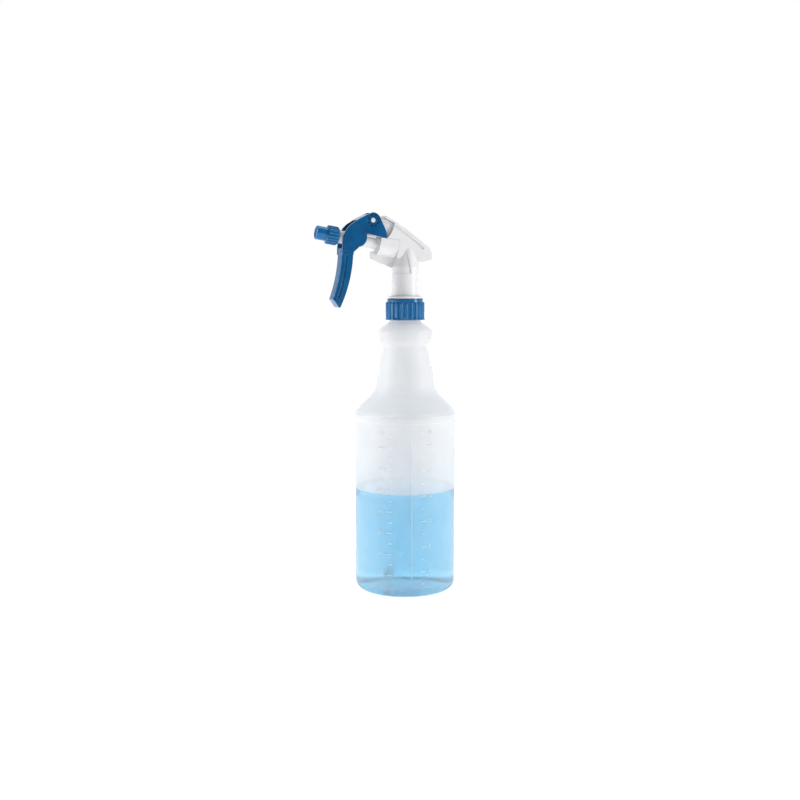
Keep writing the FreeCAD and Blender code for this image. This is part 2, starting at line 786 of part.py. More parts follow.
# ======================================= trigger =========================================
def cheek_outline(low, high):
    """One side of the yoke: the ear, the beak behind it and the plate beside the barrel."""
    x, z = PIVOT
    return slab(
        (x + 0.9, z + EAR_R),
        [
            (41.3, 315.9),
            (46.6, 312.6),
            ((54.6, 304.8), (57.2, 295.2)),
            (57.5, 290.3),
            (57.6, 285.6),
            (48.0, 285.6),
            (47.8, 287.8),
            (42.8, 292.2),
            ((38.6, 294.4), (36.5, 298.5)),
            (36.1, 302.9),
            (32.1, 302.2),
            (20.4, 299.7),
            ((19.4, 300.2), (19.1, 301.4)),
            (19.1, 304.3),
            (x - 5.7, z + 2.9),
            ((x - 3.7, z + 5.2), (x + 0.9, z + EAR_R)),
        ],
        low,
        high,
    )


def plate_outline(low, high):
    """The thicker lower half of a cheek, below the crease."""
    return slab(
        (46.2, 312.3),
        [
            ((54.3, 304.6), (56.8, 295.2)),
            (57.1, 289.0),
            (48.6, 288.2),
            (43.2, 292.7),
            ((39.1, 294.8), (37.0, 298.6)),
            (36.7, 303.2),
        ],
        low,
        high,
    )


def handle():
    """The finger lever: a curved channel, open at the back, with ribs across it."""
    body = slab(
        (57.6, 291.0),
        [
            ((59.6, 270.6), (65.3, 249.9)),
            ((64.9, 248.6), (63.9, 247.7)),
            (60.4, 242.6),
            ((59.6, 242.3), (58.9, 243.0)),
            ((50.7, 266.0), (47.8, 288.0)),
        ],
        -HANDLE_HALF,
        HANDLE_HALF,
    )
    hollow = slab(
        (54.6, 286.0),
        [
            ((56.6, 269.6), (61.2, 251.6)),
            (57.0, 249.0),
            ((48.0, 266.0), (45.0, 286.0)),
        ],
        -HANDLE_HALF + 1.7,
        HANDLE_HALF - 1.7,
    )
    return round_front(body).cut(hollow)


def round_front(body):
    """Round the two long edges at the front of the lever, where the fingers rest."""
    edges = []
    for edge in body.Edges:
        middle = edge.valueAt((edge.FirstParameter + edge.LastParameter) / 2)
        level = abs(edge.Vertexes[0].Point.y - edge.Vertexes[-1].Point.y) < 1e-6
        if level and middle.x > 59 and edge.Length > 20:
            edges.append(edge)
    return body.makeFillet(2.2, edges)


def side_flute():
    """The long groove in each side of the lever, just behind its rounded front."""
    return slab(
        (54.4, 284.0),
        [
            ((56.4, 269.2), (61.6, 250.6)),
            (60.2, 250.0),
            ((54.9, 268.8), (52.9, 284.0)),
        ],
        HANDLE_HALF - 0.5,
        HANDLE_HALF + 1,
    )


def hand_ribs():
    """Cross ribs in the hollow of the lever."""
    ribs = []
    for x, z in ((52.3, 276.5), (54.3, 266.0), (57.3, 256.0)):
        ribs.append(Part.makeBox(6.5, 2 * HANDLE_HALF - 2, 1.3, V(x - 2.5, 1 - HANDLE_HALF, z)))
    return ribs


def trunnion_slot():
    """The blind slot in a cheek's inner face, along a radius from the pivot."""
    pivot = V(PIVOT[0], 0, PIVOT[1])
    foot = pivot_to_axis()
    start_x, start_z = pump_point(TRUNNION_S)
    out = V(start_x, 0, start_z) - pivot
    far = out.Length
    way = V(out.x, 0, out.z).normalize()
    radius = TRUNNION_R + SLOT_CLEARANCE
    centre_far = pivot + way * far
    centre_near = pivot + way * (foot - 0.2)
    width = Part.makeBox(far - foot + 0.2, SLOT_DEPTH + 1, 2 * radius, V(0, 0, -radius))
    width.Placement = FreeCAD.Placement(centre_near, FreeCAD.Rotation(X_AXIS, way))
    width.translate(V(0, CHEEK_INNER - 1, 0))
    ends = []
    for centre in (centre_far, centre_near):
        ends.append(pin_across(radius, centre.x, centre.z, CHEEK_INNER - 1, CHEEK_INNER + SLOT_DEPTH))
    return width.fuse(ends)


def pivot_to_axis():
    """The distance from the pivot to the pump axis, at right angles to the axis."""
    tilt = math.radians(PUMP_TILT)
    return (PIVOT[1] - PUMP_ORIGIN_Z) * math.cos(tilt) - PIVOT[0] * math.sin(tilt)


def pivot_rosette():
    """A ring of pockets round the pivot, between eight short spokes."""
    low = CHEEK_OUTER - 0.7
    high = CHEEK_OUTER + 1
    x, z = PIVOT
    groove = pin_across(5.2, x, z, low, high).cut(pin_across(3.4, x, z, low, high))
    spokes = []
    for number in range(4):
        spoke = Part.makeBox(12, 3, 0.8, V(x - 6, low, z - 0.4))
        spoke.rotate(V(x, 0, z), Y_AXIS, 45 * number)
        spokes.append(spoke)
    return groove.cut(spokes)


def plate_crease():
    """A low ridge across the plate, from its front edge back to the notch over the arm."""
    across = slab((46.2, 311.1), [(36.3, 302.6), (35.8, 303.2), (45.7, 311.7)], 0, 20)
    return plate_outline(PLATE_OUTER - 0.3, PLATE_OUTER + PLATE_RIDGE).common(across)


def trigger_lever():
    """The blue yoke and finger lever, in one moulding."""
    sides = mirrored_pair(cheek_outline(CHEEK_INNER, CHEEK_OUTER))
    sides += mirrored_pair(plate_outline(CHEEK_OUTER - 0.5, PLATE_OUTER))
    sides += mirrored_pair(plate_crease())
    bridge = slab(
        (34.6, 319.0),
        [(41.3, 315.9), (44.2, 314.2), (43.2, 312.3), (40.5, 313.9), (34.6, 318.0)],
        -CHEEK_INNER - 0.5,
        CHEEK_INNER + 0.5,
    )
    form = handle().fuse(sides + [bridge])
    form = form.fuse(hand_ribs())
    cuts = []
    for cut in (trunnion_slot(), pivot_rosette(), side_flute()):
        cuts += mirrored_pair(cut)
    cuts.append(pin_across(PIN_R + RUNNING_FIT, *PIVOT, -20, 20))
    return form.cut(cuts)


# ======================================= shroud ==========================================
def sweep_point(z, wall=0.0):
    """The (x, z) at this height on the arc that the side panels stay behind."""
    rise = z - PIVOT[1]
    return PIVOT[0] - math.sqrt((TRIGGER_SWEEP_R + wall) ** 2 - rise ** 2), z


def shroud_side(half):
    """The cover seen from the side, as wide as half on each side."""
    return slab(
        (20.7, 317.9),
        [
            (20.2, 315.9),
            (12.3, 311.9),
            (sweep_point(306.0), sweep_point(299.25)),
            along_pump(HOUSING_REAR - 0.05, 6.4),
            along_pump(HOUSING_REAR - 0.05, -8.0),
            FLARE_FOOT,
            FLARE_PEAK,
            (FLARE_PEAK[0], 280.0),
            (-12.6, 280.0),
            (-14.3, 280.4),
            (-19.6, 281.7),
            ((-20.8, 282.3), (-21.1, 283.6)),
            ((-20.2, 288.7), (-17.3, 292.7)),
            (-3.0, 303.7),
            (12.6, 313.9),
        ],
        -half,
        half,
    )


def skirt():
    """The round skirt behind the column, narrowing upwards into the flat side panels."""
    top = 291.0
    form = turned(
        (0, COLUMN_RING_Z),
        [(SKIRT_R, COLUMN_RING_Z), (SKIRT_R, COLUMN_SHOULDER_Z), (SHROUD_HALF, top), (0, top)],
    )
    under_top = slab(
        (-14.0, 270.0),
        [(-14.0, 295.1), (-3.1, 303.5), (0.0, 305.5), (14.0, 305.5), (14.0, 270.0)],
        -14,
        14,
    )
    return form.common(under_top).cut(mirrored_pair(flare_face()))


def flare_face():
    """What the skirt lacks in front: a face slanting from its side in to the housing."""
    x, _ = FLARE_PEAK
    plan = [V(9.4, SHROUD_HALF, 0), V(x, 11.2, 0), V(x, 16, 0), V(20, 16, 0), V(20, SHROUD_HALF, 0)]
    face = Part.Face(Part.makePolygon(plan + plan[:1]))
    face.translate(V(0, 0, 265))
    return face.extrude(V(0, 0, 45))


def shroud_cover():
    """The white cover over the pump, with a raised spine and a skirt behind the column."""
    form = shroud_side(SHROUD_HALF).fuse(skirt())
    notch = slab(
        FLARE_PEAK,
        [FLARE_FOOT, (20.0, 276.0), (20.0, 268.0), (-1.0, 268.0), (-1.0, COLUMN_RING_Z)],
        -20,
        20,
    )
    shoulder = COLUMN_SHOULDER_Z + 0.1
    top_r = COLUMN_TOP[0] + RUNNING_FIT
    top = COLUMN_TOP[1] + 0.1
    cavity = [
        rod(SKIRT_BORE, 260, shoulder),
        Part.makeCone(SKIRT_BORE, top_r, top - shoulder, V(0, 0, shoulder)),
        on_pump_axis(rod(CYLINDER_R + RUNNING_FIT, CYLINDER_REAR - 0.1, CYLINDER_RIM)),
        nose_hollow(),
        wide_hollow(),
        in_front_of_seam(),
    ]
    return form.cut([notch] + cavity + mirrored_pair(spine_groove()))


def in_front_of_seam():
    """The space of the pump housing, which the cover meets at a seam."""
    seam = HOUSING_REAR - 0.05
    outline = [
        along_pump(seam, -14.0),
        along_pump(seam + 16, -14.0),
        along_pump(seam + 16, 5.0),
        sweep_point(299.25),
    ]
    return slab(along_pump(seam, 6.4), outline, -14, 14)


def nose_hollow():
    """The slot under the cover that the pump's nose stands in."""
    half = NOSE_HALF + RUNNING_FIT
    return slab(
        (22.0, 315.2),
        [(24.0, 300.0), (24.0, 276.0), (2.0, 276.0), (2.0, 302.0), (13.2, 312.2), (20.2, 315.6)],
        -half,
        half,
    )


def wide_hollow():
    """The space inside the side panels, behind the wall beside the nose."""
    half = SHROUD_HALF - SHROUD_WALL
    wall = 1.2
    return slab(
        (11.1, 310.6),
        [
            (sweep_point(306.0, wall), sweep_point(298.0, wall)),
            (17.0, 276.0),
            (2.0, 276.0),
            (2.0, 283.5),
            (-18.4, 283.5),
            (-15.4, 291.3),
            (-2.2, 302.0),
        ],
        -half,
        half,
    )


def spine_groove():
    """The groove that sets the raised spine off from a side panel."""
    return slab(
        (13.6, 311.4),
        [(14.0, 309.9), (0.0, 300.2), (-12.9, 290.1), (-13.9, 291.3), (-1.0, 301.5)],
        SHROUD_HALF - 0.8,
        SHROUD_HALF + 1,
    )


# ======================================= output ==========================================
SUB_PARTS = (
    bottle,
    liquid,
    closure_ring,
    neck_gasket,
    valve_stem,
    inlet_ball,
    dip_tube,
    strainer,
    pump_body,
    gland_ring,
    pivot_pin,
    piston_barrel,
    piston_seal,
    vent_seal,
    return_spring,
    outlet_ball,
    outlet_spring,
    swirl_core,
    nozzle_seal,
    nozzle_cap,
    trigger_lever,
    shroud_cover,
)


def build():
    os.makedirs("parts", exist_ok=True)
    for make in SUB_PARTS:
        shape = make()
        solids = shape.Solids
        print(make.__name__, len(solids), "solid", round(shape.Volume, 1), "mm3")
        solid = solids[0] if len(solids) == 1 else shape
        solid.exportStep("parts/" + make.__name__ + ".step")
    print("brimful volume", round(bottle_inside().Volume / 1000), "ml")


build()
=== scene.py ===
import math

import bmesh
import bpy
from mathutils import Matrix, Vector


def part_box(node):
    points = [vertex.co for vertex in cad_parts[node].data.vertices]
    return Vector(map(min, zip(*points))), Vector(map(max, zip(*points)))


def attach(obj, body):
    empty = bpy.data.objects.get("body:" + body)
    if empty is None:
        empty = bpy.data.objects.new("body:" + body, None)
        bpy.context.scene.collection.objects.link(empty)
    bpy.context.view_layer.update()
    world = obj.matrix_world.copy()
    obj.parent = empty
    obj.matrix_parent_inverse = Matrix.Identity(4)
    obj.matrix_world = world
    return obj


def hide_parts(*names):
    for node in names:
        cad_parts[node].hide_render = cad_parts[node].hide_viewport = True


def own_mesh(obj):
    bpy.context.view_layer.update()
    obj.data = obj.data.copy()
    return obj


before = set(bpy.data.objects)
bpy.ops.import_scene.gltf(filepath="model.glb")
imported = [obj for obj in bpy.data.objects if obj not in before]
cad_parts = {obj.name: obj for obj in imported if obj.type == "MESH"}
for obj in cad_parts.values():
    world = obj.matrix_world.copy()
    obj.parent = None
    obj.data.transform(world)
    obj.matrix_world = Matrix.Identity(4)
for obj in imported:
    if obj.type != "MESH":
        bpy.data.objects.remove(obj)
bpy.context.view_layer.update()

# The looks of a trigger spray bottle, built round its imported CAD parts.
#
# Lengths are in metres unless a comment says mm, in the frame of the CAD parts: +Z is up the
# bottle's axis and +X is the way it sprays.

MM = 0.001
LIQUID_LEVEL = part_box("liquid")[1][2]

# ---- the camera ---------------------------------------------------------------------
CAMERA_TURN = math.radians(20.0)    # from straight at the side, towards the nozzle
CAMERA_DISTANCE = 1.0
CAMERA_HEIGHT = 0.275
CAMERA_PITCH = math.radians(6.4)
CAMERA_STEP = 0.0043                # sideways, so that the bottle stands right of centre
CAMERA_LENS = 53.05                 # mm
CAMERA_SENSOR = 36.0                # mm

# the level directions from the bottle towards the camera, and to the camera's right
TOWARDS = Vector((math.sin(CAMERA_TURN), math.cos(CAMERA_TURN), 0.0))
RIGHT = Vector((-math.cos(CAMERA_TURN), math.sin(CAMERA_TURN), 0.0))
UP = Vector((0.0, 0.0, 1.0))

# ---- the bottle and the cleaner in it, all in mm -------------------------------------
BODY_R = 43.0               # the bottle's straight side
HEEL_TOP = 11.0             # where the ring round the bottle's heel ends
FOOT_BAND = (3.0, 9.0)      # the heights between which the foot's extra clearness fades out
WET_BAND = (-0.2, 0.6)      # from the liquid's level, where the wall turns from wet to dry
MARK_BAND = (0.02, 0.1)     # beyond the straight side, where a raised mark begins and is full
LIQUID_R = 42.4
LIQUID_HEEL = (36.0, 7.3)   # radius and height of the middle of the heel's arc
PUSH_UP_R = 31.0
PUSH_UP_EDGE = 1.0          # height of the push-up's rim, inside the bottle
PUSH_UP_RISE = 4.0
MENISCUS_R = 1.6
MENISCUS_LIFT = 1.0         # of the middle of the meniscus's arc above the liquid's level
MENISCUS_START = -38.7      # degrees, where that arc is at the liquid's level

# ---- the scales' numbers, on the same scale as the marks moulded on the bottle ---------
SCALE_ZERO = 2.6            # mm, the height that the scales count from
SCALE_STEP = 0.17874        # mm for each millilitre
ML_PER_OZ = 29.5735
ML_BEARING = 42.5           # degrees round the bottle
OZ_BEARING = 98.0
ML_NUMBERS = range(100, 800, 100)
OZ_NUMBERS = range(4, 28, 4)
ML_SIGN_AT = 770            # in the scale's own unit
OZ_SIGN_AT = 26.2
LETTER_SIZE = 4.2           # mm
LETTER_THICK = 0.35         # mm
LETTER_SUNK = 0.1           # mm, into the bottle's side

# ---- colours and clearness ------------------------------------------------------------
FOOT_CLEARNESS = 0.16       # how much clearer the foot is than the wall above it
MARK_CLEARNESS = 0.35       # how clear the raised marks are beside the wall between them
# shaded and lit copies of one blue plastic: the lever's darker copy is painted shade for its flat cheeks,
# and the closure's and nozzle's lighter copy is painted light for the highlights on their curved ribs
SHADED_BLUE_DARK = (0.0004, 0.082, 0.225)
SHADED_BLUE_LIGHT = (0.0008, 0.112, 0.30)
LIT_BLUE_DARK = (0.0006, 0.125, 0.34)
LIT_BLUE_LIGHT = (0.001, 0.165, 0.42)
WHITE_DARK = (0.82, 0.82, 0.835)
WHITE_LIGHT = (0.87, 0.87, 0.885)
RUBBER_DARK = (0.55, 0.55, 0.54)
RUBBER_LIGHT = (0.62, 0.62, 0.60)
BOTTLE_TINT = (0.945, 0.95, 0.96)
TUBE_TINT = (0.99, 0.99, 0.99)
STRAINER_TINT = (0.97, 0.98, 0.99)
STEEL = (0.62, 0.62, 0.63)
CLEANER_DARK = (0.86, 0.93, 0.98)
CLEANER_LIGHT = (0.90, 0.95, 1.0)
CLEANER_DEPTH = (0.0, 0.76, 0.98, 1.0)  # what a deep layer of the cleaner lets through
FLOOR_DARK = (0.38, 0.38, 0.38)
FLOOR_LIGHT = (0.42, 0.42, 0.42)
WHITE = (1.0, 1.0, 1.0, 1.0)

# ---- the stage ------------------------------------------------------------------------
FLOOR_HALF = 6.0
# how bright the room is, from 0 straight behind the bottle to 1 behind the camera
ROOM_LEVELS = ((0.06, 1.0), (0.14, 0.4), (0.5, 0.38), (0.8, 0.1))
LIGHTS_AIM = UP * 0.18
# each light's name, place, size and watts
LIGHTS = (
    ("left_softbox", TOWARDS * 0.1 - RIGHT + UP * 0.4, (0.22, 0.9), 6.0),
    ("right_softbox", TOWARDS * 0.3 + RIGHT + UP * 0.4, (0.22, 0.9), 5.8),
    ("strip", TOWARDS * 0.5 - RIGHT * 0.9 + UP * 0.35, (0.03, 0.8), 0.6),
    ("top_softbox", UP * 1.3 - TOWARDS * 0.2, (0.9, 0.9), 5.5),
)


def make_camera():
    data = bpy.data.cameras.new("camera")
    camera = bpy.data.objects.new("camera", data)
    bpy.context.scene.collection.objects.link(camera)
    bpy.context.scene.camera = camera
    data.lens = CAMERA_LENS
    data.sensor_width = CAMERA_SENSOR
    camera.location = TOWARDS * CAMERA_DISTANCE - RIGHT * CAMERA_STEP + UP * CAMERA_HEIGHT
    look = -TOWARDS * math.cos(CAMERA_PITCH) - UP * math.sin(CAMERA_PITCH)
    camera.rotation_euler = look.to_track_quat("-Z", "Y").to_euler()


make_camera()


# =========================== node helpers ============================================
class Tree:
    """The node tree of a material or a world, with short calls to add nodes and links.

    Where several sockets of a node share a name, they are given by their number.
    """

    def __init__(self, owner):
        owner.use_nodes = True
        self.owner = owner
        self.nodes = owner.node_tree.nodes
        self.links = owner.node_tree.links
        self.nodes.clear()

    def add(self, kind, inputs=None, **settings):
        node = self.nodes.new("ShaderNode" + kind)
        for key, value in settings.items():
            setattr(node, key, value)
        for key, value in (inputs or {}).items():
            if isinstance(value, bpy.types.NodeSocket):
                self.links.new(value, node.inputs[key])
            else:
                node.inputs[key].default_value = value
        return node

    def finish(self, surface, volume=None):
        output = self.add("OutputMaterial", {"Surface": surface})
        if volume is not None:
            self.links.new(volume, output.inputs["Volume"])
        return self.owner

    def place(self):
        return self.add("TexCoord").outputs["Object"]

    def noise(self, scale, detail=3.0):
        inputs = {"Vector": self.place(), "Scale": scale, "Detail": detail}
        return self.add("TexNoise", inputs).outputs["Fac"]

    def ramp(self, value, start, end, at_start, at_end):
        """Goes from at_start to at_end as the value goes from start to end, and no further."""
        inputs = {"Value": value, "From Min": start, "From Max": end, "To Min": at_start, "To Max": at_end}
        return self.add("MapRange", inputs).outputs["Result"]

    def spread(self, noise, low, high):
        """A noise, which lies mostly from 0.3 to 0.7, spread from low to high."""
        return self.ramp(noise, 0.3, 0.7, low, high)

    def uneven(self, value, scale, low, high, detail=3.0):
        """A value that wanders from low times itself to high times itself."""
        return self.spread(self.noise(scale, detail), value * low, value * high)

    def mottle(self, scale, dark, light):
        """A colour that wanders from one to another."""
        share = self.spread(self.noise(scale), 0.0, 1.0)
        node = self.add("Mix", {0: share, 6: (*dark, 1.0), 7: (*light, 1.0)}, data_type="RGBA")
        return node.outputs[2]

    def bump(self, height, strength, distance, normal=None):
        inputs = {"Height": height, "Strength": strength, "Distance": distance}
        if normal is not None:
            inputs["Normal"] = normal
        return self.add("Bump", inputs).outputs["Normal"]

    def rounded_edges(self, radius):
        """Normals that round off the part's sharp edges, as moulded edges are."""
        return self.add("Bevel", {"Radius": radius}, samples=4).outputs["Normal"]

    def combine(self, operation, first, second):
        return self.add("Math", {0: first, 1: second}, operation=operation).outputs["Value"]

    def mix(self, share, first, second):
        return self.add("MixShader", {0: share, 1: first, 2: second}).outputs["Shader"]


# =========================== materials ===============================================
def moulded_plastic(name, dark, light, roughness, edge=0.25 * MM, subsurface=0.0):
    """Injection-moulded plastic: a faint mottle, uneven gloss and a fine moulded grain."""
    tree = Tree(bpy.data.materials.new(name))
    rounded = tree.rounded_edges(edge)
    waves = tree.bump(tree.noise(60.0, detail=1.0), strength=0.05, distance=0.3 * MM, normal=rounded)
    grain = tree.bump(tree.noise(2600.0, detail=2.0), strength=0.04, distance=0.04 * MM, normal=waves)
    shader = tree.add(
        "BsdfPrincipled",
        {
            "Base Color": tree.mottle(90.0, dark, light),
            "Roughness": tree.uneven(roughness, 240.0, low=0.8, high=1.25, detail=4.0),
            "Normal": grain,
            "IOR": 1.49,
            "Subsurface Weight": subsurface,
            "Subsurface Radius": (1.0, 1.0, 1.0),
            "Subsurface Scale": 1.2 * MM,
        },
    )
    return tree.finish(shader.outputs["BSDF"])


def clearness(tree, clear, wet_clear):
    """The share of the light that goes straight through a wall.

    It is more below the level of the cleaner, where the wall is wet inside, and at the foot, and
    less at the raised marks.
    """
    height = tree.add("SeparateXYZ", {"Vector": tree.place()}).outputs["Z"]
    dry = tree.uneven(clear, 30.0, low=0.94, high=1.06, detail=2.0)
    wet_low, wet_high = [LIQUID_LEVEL + step * MM for step in WET_BAND]
    wetness = tree.ramp(height, wet_low, wet_high, wet_clear - clear, 0.0)
    foot_low, foot_high = [step * MM for step in FOOT_BAND]
    foot = tree.ramp(height, foot_low, foot_high, FOOT_CLEARNESS, 0.0)
    amount = tree.combine("ADD", tree.combine("ADD", dry, wetness), foot)

    across = tree.add("VectorMath", {0: tree.place(), 1: (1.0, 1.0, 0.0)}, operation="MULTIPLY")
    radius = tree.add("VectorMath", {0: across.outputs["Vector"]}, operation="LENGTH").outputs["Value"]
    above_heel = tree.combine("GREATER_THAN", height, HEEL_TOP * MM)
    reach = tree.combine("MULTIPLY", radius, above_heel)
    mark_low, mark_high = [(BODY_R + step) * MM for step in MARK_BAND]
    marks = tree.ramp(reach, mark_low, mark_high, 1.0, MARK_CLEARNESS)
    return tree.combine("MULTIPLY", amount, marks)


def milky_plastic(name, tint, clear, wet_clear, roughness, translucence):
    """Natural polyethylene: it scatters light through itself and lets some straight through."""
    tree = Tree(bpy.data.materials.new(name))
    colour = tree.mottle(45.0, [0.96 * c for c in tint], tint)
    ripple = tree.bump(tree.noise(70.0, detail=2.0), strength=0.12, distance=0.5 * MM)
    grain = tree.bump(tree.noise(1800.0, detail=2.0), strength=0.05, distance=0.05 * MM, normal=ripple)
    front = tree.add(
        "BsdfPrincipled",
        {
            "Base Color": colour,
            "Roughness": tree.uneven(roughness, 160.0, low=0.85, high=1.2),
            "Normal": grain,
            "IOR": 1.5,
        },
    )
    back = tree.add("BsdfTranslucent", {"Color": colour, "Normal": grain})
    straight = tree.add("BsdfTransparent", {"Color": WHITE})
    scatter = tree.mix(translucence, front.outputs["BSDF"], back.outputs["BSDF"])
    return tree.finish(tree.mix(clearness(tree, clear, wet_clear), scatter, straight.outputs["BSDF"]))


def cleaner_material():
    """Clear blue cleaner: it bends light a little, and is bluer where it is deeper."""
    tree = Tree(bpy.data.materials.new("cleaner"))
    shader = tree.add(
        "BsdfPrincipled",
        {
            "Base Color": tree.mottle(20.0, CLEANER_DARK, CLEANER_LIGHT),
            "Roughness": 0.12,
            "IOR": 1.15,
            "Transmission Weight": 1.0,
        },
    )
    depth = tree.add("VolumeAbsorption", {"Color": CLEANER_DEPTH, "Density": 20.0})
    return tree.finish(shader.outputs["BSDF"], depth.outputs["Volume"])


def metal(name, colour, roughness):
    tree = Tree(bpy.data.materials.new(name))
    shader = tree.add(
        "BsdfPrincipled",
        {
            "Base Color": tree.mottle(400.0, [0.9 * c for c in colour], colour),
            "Metallic": 1.0,
            "Roughness": tree.uneven(roughness, 900.0, low=0.8, high=1.3),
        },
    )
    return tree.finish(shader.outputs["BSDF"])


def floor_material():
    tree = Tree(bpy.data.materials.new("floor"))
    shader = tree.add(
        "BsdfPrincipled",
        {
            "Base Color": tree.mottle(3.0, FLOOR_DARK, FLOOR_LIGHT),
            "Roughness": 0.7,
            "Emission Color": WHITE,
            "Emission Strength": 0.93,
        },
    )
    return tree.finish(shader.outputs["BSDF"])


MATERIALS = {
    # the closure and nozzle get the lit copy of the blue, painted light, and the lever the shaded copy,
    # painted shade
    "blue": moulded_plastic("lit_blue_plastic", LIT_BLUE_DARK, LIT_BLUE_LIGHT, roughness=0.16, edge=0.45 * MM),
    "lever": moulded_plastic("shaded_blue_plastic", SHADED_BLUE_DARK, SHADED_BLUE_LIGHT, roughness=0.16, edge=0.45 * MM),
    "white": moulded_plastic("white_plastic", WHITE_DARK, WHITE_LIGHT, roughness=0.32, subsurface=0.15),
    "bottle": milky_plastic(
        "natural_polyethylene", BOTTLE_TINT, clear=0.40, wet_clear=0.72, roughness=0.38, translucence=0.5
    ),
    "tube": milky_plastic(
        "dip_tube_plastic", TUBE_TINT, clear=0.3, wet_clear=0.8, roughness=0.4, translucence=0.9
    ),
    "strainer": milky_plastic(
        "strainer_plastic", STRAINER_TINT, clear=0.2, wet_clear=0.25, roughness=0.4, translucence=0.8
    ),
    "cleaner": cleaner_material(),
    "rubber": moulded_plastic("seal_rubber", RUBBER_DARK, RUBBER_LIGHT, roughness=0.7),
    "steel": metal("spring_steel", STEEL, roughness=0.3),
}

# the nodes that aren't white plastic
NODE_MATERIALS = {
    "bottle": "bottle",
    "liquid": "cleaner",
    "closure_ring": "blue",
    "trigger_lever": "lever",
    "nozzle_cap": "blue",
    "dip_tube": "tube",
    "strainer": "strainer",
    "neck_gasket": "rubber",
    "piston_seal": "rubber",
    "vent_seal": "rubber",
    "nozzle_seal": "rubber",
    "return_spring": "steel",
    "outlet_spring": "steel",
    "inlet_ball": "steel",
    "outlet_ball": "steel",
}

for node_name, node_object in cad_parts.items():
    chosen = MATERIALS[NODE_MATERIALS.get(node_name, "white")]
    node_object.data.materials.clear()
    node_object.data.materials.append(chosen)


# =========================== the cleaner and the scales' numbers =====================
def add_mesh(name, verts, faces, material, smooth):
    """A mesh piece that rides on the bottle."""
    mesh = bpy.data.meshes.new(name)
    mesh.from_pydata(verts, [], faces)
    mesh.materials.append(material)
    for face in mesh.polygons:
        face.use_smooth = smooth
    piece = bpy.data.objects.new(name, mesh)
    bpy.context.scene.collection.objects.link(piece)
    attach(piece, "bottle")
    return piece


def arc(centre, radius, first, last, steps):
    """Points on a circle from one angle in degrees to another, ends included."""
    angles = [math.radians(first + (last - first) * k / steps) for k in range(steps + 1)]
    return [(centre[0] + radius * math.cos(a), centre[1] + radius * math.sin(a)) for a in angles]


def push_up_height(radius):
    return PUSH_UP_EDGE + PUSH_UP_RISE * (1.0 - (radius / PUSH_UP_R) ** 2)


def cleaner_outline():
    """Radius and height in mm, from the middle of the push-up round to the middle of the surface."""
    push_up = [(r, push_up_height(r)) for r in (0.0, 4.0, 9.0, 14.0, 19.0, 24.0, 28.0)]
    rim = [(PUSH_UP_R, PUSH_UP_EDGE)]
    heel = arc(LIQUID_HEEL, LIQUID_R - LIQUID_HEEL[0], -90, 0, 14)
    level = LIQUID_LEVEL / MM
    side = [(LIQUID_R, level * k / 10) for k in range(2, 10)]
    meniscus_middle = (LIQUID_R - MENISCUS_R, level + MENISCUS_LIFT)
    meniscus = arc(meniscus_middle, MENISCUS_R, MENISCUS_START, -90, 6)
    surface = [(r, meniscus[-1][1]) for r in (34.0, 26.0, 18.0, 9.0, 0.0)]
    return push_up + rim + heel + side + meniscus + surface


def make_cleaner():
    """The cleaner with no channel round the dip tube, a little way into the wall."""
    (_, bottom), *rings, (_, top) = cleaner_outline()    # its two ends are on the axis
    turns = 160
    verts = [(0.0, 0.0, bottom * MM)]
    for radius, height in rings:
        for turn in range(turns):
            angle = 2 * math.pi * turn / turns
            verts.append((radius * MM * math.cos(angle), radius * MM * math.sin(angle), height * MM))
    verts.append((0.0, 0.0, top * MM))
    last_row = len(rings) - 1
    last = 1 + last_row * turns
    faces = []
    for turn in range(turns):
        after = (turn + 1) % turns
        faces.append((0, 1 + after, 1 + turn))
        for row in range(last_row):
            low = 1 + row * turns
            high = low + turns
            faces.append((low + turn, low + after, high + after, high + turn))
        faces.append((last + turn, last + after, len(verts) - 1))
    piece = add_mesh("cleaner_fill", verts, faces, MATERIALS["cleaner"], True)
    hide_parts("liquid")


def text_mesh(words, size, thick):
    """The vertices and faces of some raised lettering, lying in the XY plane."""
    curve = bpy.data.curves.new("lettering", "FONT")
    curve.body = words
    curve.size = size
    curve.extrude = thick / 2
    curve.resolution_u = 3
    curve.align_x = "CENTER"
    curve.align_y = "CENTER"
    holder = bpy.data.objects.new("lettering", curve)
    bpy.context.scene.collection.objects.link(holder)
    bpy.context.view_layer.update()
    mesh = bpy.data.meshes.new_from_object(holder.evaluated_get(bpy.context.evaluated_depsgraph_get()))
    verts = [tuple(vertex.co) for vertex in mesh.vertices]
    faces = [tuple(face.vertices) for face in mesh.polygons]
    bpy.data.objects.remove(holder)
    bpy.data.curves.remove(curve)
    bpy.data.meshes.remove(mesh)
    return verts, faces


def scale_height(ml):
    """The height in mm of the mark for this many millilitres."""
    return SCALE_ZERO + SCALE_STEP * ml


def scale_words():
    """Each number or sign of the scales, its bearing in degrees and its height in mm."""
    words = [(str(ml), ML_BEARING, scale_height(ml)) for ml in ML_NUMBERS]
    words.append(("ml", ML_BEARING, scale_height(ML_SIGN_AT)))
    words += [(str(oz), OZ_BEARING, scale_height(ML_PER_OZ * oz)) for oz in OZ_NUMBERS]
    words.append(("oz", OZ_BEARING, scale_height(ML_PER_OZ * OZ_SIGN_AT)))
    return words


def make_numbers():
    """The numbers beside the scales' marks, raised on the bottle's side."""
    all_verts, all_faces = [], []
    for word, bearing, height in scale_words():
        verts, faces = text_mesh(word, LETTER_SIZE, LETTER_THICK)
        first = len(all_verts)
        for x, y, z in verts:
            angle = math.radians(bearing) + x / BODY_R
            radius = (BODY_R + LETTER_THICK / 2 - LETTER_SUNK + z) * MM
            all_verts.append((radius * math.cos(angle), radius * math.sin(angle), (height + y) * MM))
        all_faces += [tuple(first + index for index in face) for face in faces]
    piece = add_mesh("scale_numbers", all_verts, all_faces, MATERIALS["bottle"], False)


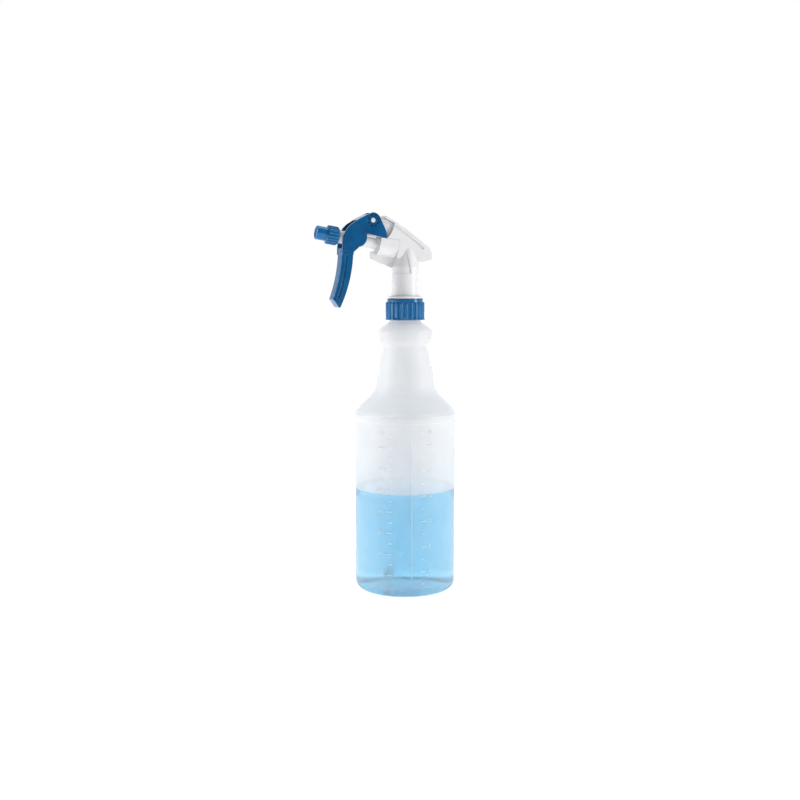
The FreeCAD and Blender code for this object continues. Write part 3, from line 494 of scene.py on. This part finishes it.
# =========================== the dip tube and the springs ============================
def face_islands(form):
    """The faces of a bmesh in groups that share vertices."""
    seen, islands = set(), []
    for first in form.faces:
        if first in seen:
            continue
        seen.add(first)
        island = [first]
        for face in island:
            for vertex in face.verts:
                for near in vertex.link_faces:
                    if near not in seen:
                        seen.add(near)
                        island.append(near)
        islands.append(island)
    return islands


def outwardness(island):
    """Above nought for the tube's outer wall, below it for its bore, and nought for a flat end."""
    return sum(face.normal.y * face.calc_center_median().y * face.calc_area() for face in island)


def make_tube_fill():
    """The dip tube filled solid, since the walls of its bore only darken it."""
    rounding = 1e-12
    form = bmesh.new()
    form.from_mesh(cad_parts["dip_tube"].data)
    form.normal_update()
    bore = [face for island in face_islands(form) if outwardness(island) < -rounding for face in island]
    bmesh.ops.delete(form, geom=bore, context="FACES")
    bmesh.ops.remove_doubles(form, verts=form.verts, dist=0.001 * MM)
    bmesh.ops.holes_fill(form, edges=[edge for edge in form.edges if edge.is_boundary])
    mesh = bpy.data.meshes.new("dip_tube_fill")
    form.to_mesh(mesh)
    form.free()
    mesh.materials.append(MATERIALS["tube"])
    piece = bpy.data.objects.new("dip_tube_fill", mesh)
    bpy.context.scene.collection.objects.link(piece)
    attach(piece, "head")
    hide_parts("dip_tube")


def squashing_spring(node, body):
    """A copy of a spring's coil on its own mesh, riding on a body in place of the CAD part."""
    piece = bpy.data.objects.new(node + "_coil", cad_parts[node].data.copy())
    bpy.context.scene.collection.objects.link(piece)
    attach(piece, body)
    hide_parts(node)
    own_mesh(piece)


make_cleaner()
make_numbers()
make_tube_fill()
squashing_spring("return_spring", "head")
squashing_spring("outlet_spring", "barrel")


# =========================== stage and light =========================================
def make_floor():
    mesh = bpy.data.meshes.new("floor")
    corners = [(x * FLOOR_HALF, y * FLOOR_HALF, 0) for x, y in ((-1, -1), (1, -1), (1, 1), (-1, 1))]
    mesh.from_pydata(corners, [], [(0, 1, 2, 3)])
    mesh.materials.append(floor_material())
    floor = bpy.data.objects.new("floor", mesh)
    bpy.context.scene.collection.objects.link(floor)


def make_world():
    """A white backdrop behind the bottle and a dimmer room at its sides and in front of it."""
    world = bpy.data.worlds.new("studio")
    bpy.context.scene.world = world
    tree = Tree(world)
    direction = tree.add("TexCoord").outputs["Generated"]
    facing = tree.add("VectorMath", {0: direction, 1: TOWARDS}, operation="DOT_PRODUCT").outputs["Value"]
    level = tree.add("ValToRGB", {"Fac": tree.ramp(facing, -1.0, 1.0, 0.0, 1.0)})
    level.color_ramp.interpolation = "EASE"
    stops = level.color_ramp.elements
    while len(stops) < len(ROOM_LEVELS):
        stops.new(0.5)
    for stop, (place, strength) in zip(stops, ROOM_LEVELS):
        stop.position = place
        stop.color = (strength, strength, strength, 1.0)
    background = tree.add("Background", {"Color": level.outputs["Color"]})
    tree.add("OutputWorld", {"Surface": background.outputs["Background"]})


def area_light(name, place, size, power):
    data = bpy.data.lights.new(name, "AREA")
    data.shape = "RECTANGLE"
    data.size, data.size_y = size
    data.energy = power
    light = bpy.data.objects.new(name, data)
    light.location = place
    light.rotation_euler = (LIGHTS_AIM - place).to_track_quat("-Z", "Y").to_euler()
    bpy.context.scene.collection.objects.link(light)


make_floor()
make_world()
for light_name, light_place, light_size, light_power in LIGHTS:
    area_light(light_name, light_place, light_size, light_power)
bpy.context.scene.view_settings.view_transform = "Standard"
